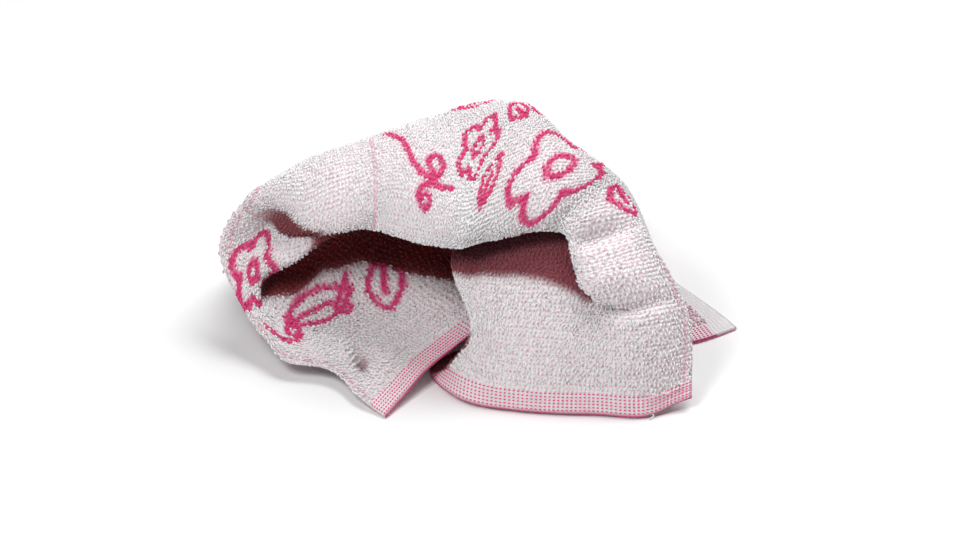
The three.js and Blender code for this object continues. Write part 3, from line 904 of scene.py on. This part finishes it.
@dataclass
class LoopPile:
    """Terry loops on a part of one face.

    A loop is a yarn bent in an arch: its axis goes up as the sine and along as the cosine of half a
    turn, and its section is a triangle that closes to a point at each root, inside the ground.
    """

    drape: Drape
    drawing: Drawing
    name: str
    face: Face
    across: tuple[float, float]
    along: tuple[float, float]
    height: float = 0.95
    half_span: float = 0.82
    yarn_radius: float = 0.52
    seed: int = 7

    STATIONS = np.array([0.0, 0.17, 0.4, 0.6, 0.83, 1.0])  # along the yarn, as shares of half a turn
    SWELL = np.array([0.0, 0.85, 1.0, 1.0, 0.85, 0.0])  # its thickness there
    SECTION = 3
    ROOT_DEPTH = 0.4  # how deep in the ground a root lies
    MARGIN = 0.4  # no root lies closer to a selvedge
    # one deviation each of a loop's place, turn, lean to the side and along, height and thickness
    JITTER = 0.2
    TURN_SPREAD = 0.45
    LEAN_SPREAD = 0.36
    LINE_SPREAD = 0.4
    TALL_SPREAD = 0.13
    WIDE_SPREAD = 0.1
    COMB_TURN = 0.5  # how far the last brushing turned the loops, in radians
    COMB_WAVES = (23.0, 31.0)  # over these lengths, across and along
    COMB_PHASES = (1.3, -0.4)
    COMB_LEAN = 0.8  # and how far it laid them over
    LEAN_WAVES = (41.0, 53.0)
    BRUSHED = (114.0, 126.0)  # from here on, along, the sheet lies stretched and its pile is even
    BRUSHED_SHARE = 0.45
    TONE = (0.65, 0.22)  # mean and deviation of a loop's own shade
    FLECK = (-0.3, 0.45)  # the same for the ground's pink at its root
    MOST_FLECK = 0.8
    REVERSE_DYE = 0.3
    FRAME_DYE = 0.38

    def places(self, draws: np.random.Generator) -> tuple[Array, Array]:
        """A loop for each cell, every second row set over by half a pitch, with a little jitter."""
        first, last = (int(round(a / LOOP_PITCH)) for a in self.across)
        low, high = (int(round(a / LOOP_PITCH)) for a in self.along)
        column, row = (a.ravel() for a in np.meshgrid(np.arange(first, last), np.arange(low, high)))
        count = len(row)
        across = (column + 0.25 + 0.5 * (row % 2)) * LOOP_PITCH + draws.normal(0, self.JITTER, count)
        along = (row + 0.5) * LOOP_PITCH + draws.normal(0, self.JITTER, count)
        return np.clip(across, self.MARGIN, WIDTH - self.MARGIN), along

    def make(self, material: Material) -> Object:
        """Builds the loops of this part."""
        draws = np.random.default_rng(self.seed)
        across, along = self.places(draws)
        count = len(across)
        spots = self.drape.at(across, along)
        out = spots.normal * self.face.value
        waves, phases = self.COMB_WAVES, self.COMB_PHASES
        swing = np.sin(across / waves[0] + phases[0]) * np.cos(along / waves[1] + phases[1])
        combed = self.COMB_TURN * swing
        turn = math.pi / 2 + combed + draws.normal(0, self.TURN_SPREAD, count)
        line = unit(np.cos(turn)[:, None] * spots.ahead + np.sin(turn)[:, None] * spots.up)
        beside = unit(np.cross(out, line))
        ruffled = 1 - self.BRUSHED_SHARE * smooth_step(*self.BRUSHED, along)
        laid = self.COMB_LEAN * np.cos(across / self.LEAN_WAVES[0] + along / self.LEAN_WAVES[1])
        lean = laid + draws.normal(0, self.LEAN_SPREAD, count) * ruffled
        lean_line = draws.normal(0, self.LINE_SPREAD, count) * ruffled
        tall = self.height * (1 + draws.normal(0, self.TALL_SPREAD, count) * ruffled)
        wide = self.yarn_radius * (1 + draws.normal(0, self.WIDE_SPREAD, count))
        angle = math.pi * self.STATIONS
        rise = np.sin(angle)
        axis = (
            spots.centre[:, None]
            + (GROUND_THICKNESS / 2 - self.ROOT_DEPTH) * out[:, None]
            - self.half_span * np.cos(angle)[None, :, None] * line[:, None]
            + (tall[:, None] * rise)[..., None] * out[:, None]
            + (lean[:, None] * rise)[..., None] * beside[:, None]
            + (lean_line[:, None] * rise)[..., None] * line[:, None]
        )
        points = tube_points(axis, beside[:, None], wide[:, None] * self.SWELL, self.SECTION)
        each = points.shape[1]
        tone = np.clip(self.TONE[0] + draws.normal(0, self.TONE[1], count), 0, 1)
        fleck = np.clip(draws.normal(*self.FLECK, count), 0, self.MOST_FLECK)
        looks = {
            "dye": np.repeat(self.dyed(across, along), each),
            "tone": np.repeat(tone, each),
            # painted shade on the loops in the folds that lie in shadow
            "painted_shade": np.repeat(painted_shade_at(across, along), each),
            "height": np.tile(np.r_[0.0, np.repeat(rise[1:-1], self.SECTION), 0.0], count),
            "fleck": np.repeat(fleck, each),
        }
        template = tube_faces(self.SECTION, len(self.STATIONS) - 2)
        return make_copies(self.name, points, template, material, looks)

    def dyed(self, across: Array, along: Array) -> Array:
        """How pink each loop is: fully inside a stroke, partly on a frame line and on the other face."""
        drawn = (self.drawing.covers(across, along) > 0).astype(float)
        if self.face is Face.REVERSE:
            return self.REVERSE_DYE * (1 - drawn)
        return np.maximum(drawn, self.FRAME_DYE * frame_line(across, along))


@dataclass
class HemStitches:
    """Rows of pink stitches on the flat hems: low pads, one for each pitch across and along."""

    drape: Drape
    name: str
    rows: tuple[float, ...]
    across: tuple[float, float]
    faces: tuple[Face, ...] = (Face.WHITE, Face.REVERSE)
    size: tuple[float, float] = (0.72, 0.36)
    rise: float = 0.3

    RING = 8
    SINK = 0.2  # how deep the lower ring lies in the ground
    TAPER = 0.75  # the upper ring's share of the lower
    CROWN = 0.12  # the top point's height over the upper ring
    TONE = 0.8

    def make(self, material: Material) -> Object:
        """Builds the stitches: a ring at the cloth, a smaller ring above it and a top point."""
        across, along = (
            a.ravel()
            for a in np.meshgrid(np.arange(self.across[0], self.across[1], LOOP_PITCH), self.rows)
        )
        spots = self.drape.at(across, along)
        ring = 2 * math.pi * np.arange(self.RING) / self.RING
        blocks = []
        for face in self.faces:
            out = (spots.normal * face.value)[:, None]
            base = spots.centre[:, None] + GROUND_THICKNESS / 2 * out
            flat = (
                self.size[0] * np.cos(ring)[None, :, None] * (spots.ahead * face.value)[:, None]
                + self.size[1] * np.sin(ring)[None, :, None] * spots.up[:, None]
            )
            low = base + flat - self.SINK * out
            high = base + self.TAPER * flat + self.rise * out
            top = base + (self.rise + self.CROWN) * out
            blocks.append(np.concatenate([low, high, top], axis=1))
        points = np.vstack(blocks)
        points[..., 2] = np.maximum(points[..., 2], LOWEST)
        # painted shade on the stitches where the hem lies in shadow
        painted_shade = np.tile(np.repeat(painted_shade_at(across, along), points.shape[1]), len(self.faces))
        return make_copies(
            self.name, points, self.template(), material, open_yarn(painted_shade, 1.0, self.TONE)
        )

    def template(self) -> Array:
        """Triangles of one stitch: its side, its top fan and its underside."""
        n = self.RING
        k = np.arange(n)
        after = (k + 1) % n
        return np.vstack([
            np.c_[k, after, n + after],
            np.c_[k, n + after, n + k],
            np.c_[n + k, n + after, np.full(n, 2 * n)],
            np.c_[np.zeros(n - 2, int), k[2:], k[1:-1]],
        ])


# Loops pulled loose above the near hem, and a thread end at its edge: across, along, length, turn in
# degrees from across, rise
LOOSE_YARNS = [
    (252, 9.5, 3.2, 200, 1.2), (254.5, 10.2, 2.6, 250, 1.0), (257, 9.2, 3.6, 215, 1.4),
    (259, 10.4, 2.8, 300, 1.1), (262, 9.4, 3.0, 235, 1.2), (264.5, 10, 2.4, 190, 1.0),
    (249, 0.6, 3.4, 262, 0.7), (34, 9.6, 2.4, 240, 0.9), (58, 10.1, 2.2, 290, 0.8),
]


@dataclass
class LooseYarns:
    """Single yarns that have come loose at the near hem: each a round tube on a bent line."""

    drape: Drape
    name: str
    radius: float = 0.24
    stations: int = 12
    sides: int = 6

    SWAY = 0.3  # how far a yarn swings to each side, as a share of its length
    ROUND_END = 8  # a higher power gives blunter ends
    TONE = 0.9

    def make(self, material: Material) -> Object:
        """Builds the tubes, whose height is the sine of half a turn and whose side is that of one."""
        across, along, length, turn, rise = np.array(LOOSE_YARNS, float).T[:, :, None, None]
        spots = self.drape.at(across.ravel(), along.ravel())
        ahead, up, out = (a[:, None] for a in (spots.ahead, spots.up, spots.normal))
        angle = np.radians(turn)
        line = np.cos(angle) * ahead + np.sin(angle) * up
        beside = np.cos(angle) * up - np.sin(angle) * ahead
        t = np.linspace(0, 1, self.stations)[None, :, None]
        root = spots.centre[:, None] + GROUND_THICKNESS / 2 * out
        bent = t * line + self.SWAY * np.sin(2 * math.pi * t) * beside
        axis = root + length * bent + rise * np.sin(math.pi * t) * out
        swell = self.radius * np.sqrt(np.clip(1 - (2 * t - 1) ** self.ROUND_END, 0, 1))
        points = tube_points(axis, out, swell[..., 0], self.sides)
        template = tube_faces(self.sides, self.stations - 2)
        looks = open_yarn(np.zeros(points[..., 0].size), 0.0, self.TONE)
        return make_copies(self.name, points, template, material, looks)


@dataclass
class Studio:
    """White sweep, soft lights and the long lens of a product photograph."""

    drape: Drape
    lens: float = 800.0
    sensor: float = 36.0
    points_per_mm: float = 2.2
    image_width: int = 960
    # the heap's place that the middle of the picture shows, before the heap is centred
    aim: tuple[float, float, float] = (0.9, 90.0, 22.5)
    elevation: float = 30.0

    # name, place in metres, length of its side in metres, power in watts
    LAMPS = (
        ("key", (-0.5, -0.62, 0.92), 0.45, 7.0),
        ("back", (0.35, 0.42, 1.1), 0.9, 14.0),
        ("fill", (0.1, -1.3, 0.55), 0.9, 1.8),
    )
    LIT_POINT = (0.0, 0.0, 0.04)  # the heap's middle, in metres
    SURROUND = 0.08  # strength of the white surround
    HALF_FLOOR = 3000.0
    CLIP = (0.1, 50.0)  # nearest and furthest that the camera sees, in metres

    def floor(self, material: Material) -> Object:
        """A large flat sheet at height 0."""
        half = self.HALF_FLOOR
        corners = np.array([(-half, -half, 0), (half, -half, 0), (half, half, 0), (-half, half, 0)])
        floor = make_piece("paper_sweep", corners, np.array([[0, 1, 2, 3]]), material)
        return floor

    def camera(self) -> None:
        """Stands the camera in front, 30 degrees up, at the lens's distance for the picture's scale."""
        data = bpy.data.cameras.new("camera")
        data.lens, data.sensor_width = self.lens, self.sensor
        data.clip_start, data.clip_end = self.CLIP
        camera = bpy.data.objects.new("camera", data)
        bpy.context.collection.objects.link(camera)
        distance = self.image_width / self.points_per_mm * self.lens / self.sensor * MM
        rise = math.radians(self.elevation)
        back = Vector((0.0, -math.cos(rise), math.sin(rise)))
        aim = Vector((np.array(self.aim) - self.drape.shift) * MM)
        camera.matrix_world = Matrix.Translation(aim + back * distance) @ (
            back.to_track_quat("Z", "Y").to_matrix().to_4x4()
        )
        bpy.context.scene.camera = camera

    def lamp(self, name: str, place: tuple[float, float, float], size: float, power: float) -> None:
        """A square soft light aimed at the heap's middle."""
        data = bpy.data.lights.new(name, "AREA")
        data.size, data.energy = size, power
        lamp = bpy.data.objects.new(name, data)
        bpy.context.collection.objects.link(lamp)
        turn = (Vector(self.LIT_POINT) - Vector(place)).to_track_quat("-Z", "Y")
        lamp.matrix_world = Matrix.Translation(place) @ turn.to_matrix().to_4x4()

    def lights(self) -> None:
        """A key from the front left, a wide one behind, a low fill in front and a white surround."""
        for row in self.LAMPS:
            self.lamp(*row)
        world = bpy.data.worlds.new("white_room")
        world.use_nodes = True
        world.node_tree.nodes["Background"].inputs["Color"].default_value = srgb("#FFFFFF")
        world.node_tree.nodes["Background"].inputs["Strength"].default_value = self.SURROUND
        bpy.context.scene.world = world
        bpy.context.scene.view_settings.view_transform = "Standard"


def main() -> None:
    """Builds the studio, the ground cloth, its pile and its stitches, in that order."""
    logging.basicConfig(level=logging.INFO, format="%(name)s: %(message)s")
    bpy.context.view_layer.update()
    drape = Drape()
    drawing = Drawing()
    studio = Studio(drape)
    studio.camera()
    studio.lights()
    studio.floor(PaperSweep().make())

    ground = GroundCloth(drape, drawing).make(WovenCottonGround().make())
    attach(ground, "root")
    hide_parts("towel")
    LOG.info("%s: %d faces", ground.name, len(ground.data.polygons))

    yarn = CottonTerryYarn().make()
    white, reverse = Face.WHITE, Face.REVERSE
    strip, far_hem = WIDTH - GroundCloth.STRIP[0], LENGTH - HEM_DEPTH
    parts = [
        LoopPile(drape, drawing, "pile_front", white, (0, WIDTH), (HEM_DEPTH, 112), seed=11),
        LoopPile(drape, drawing, "pile_top", white, (0, WIDTH), (112, 212), seed=12),
        LoopPile(drape, drawing, "pile_back", white, (0, WIDTH), (212, 318), seed=13),
        LoopPile(drape, drawing, "pile_corner", reverse, (200, strip), (350, far_hem), seed=14),
        LoopPile(drape, drawing, "pile_reverse_left", reverse, (0, 60), (HEM_DEPTH, 350), seed=15),
        LoopPile(drape, drawing, "pile_reverse_right", reverse, (214, strip), (HEM_DEPTH, 350), seed=16),
    ]
    pads = [
        HemStitches(drape, "stitches_near_hem", HEM_ROWS, (1.0, WIDTH)),
        HemStitches(drape, "stitches_far_hem", tuple(LENGTH - r for r in HEM_ROWS), (1.0, 258.0)),
    ]
    for part in (*parts, *pads, LooseYarns(drape, "loose_yarns")):
        piece = part.make(yarn)
        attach(piece, "root")
        LOG.info("%s: %d faces", piece.name, len(piece.data.polygons))


if __name__ == "__main__":
    main()
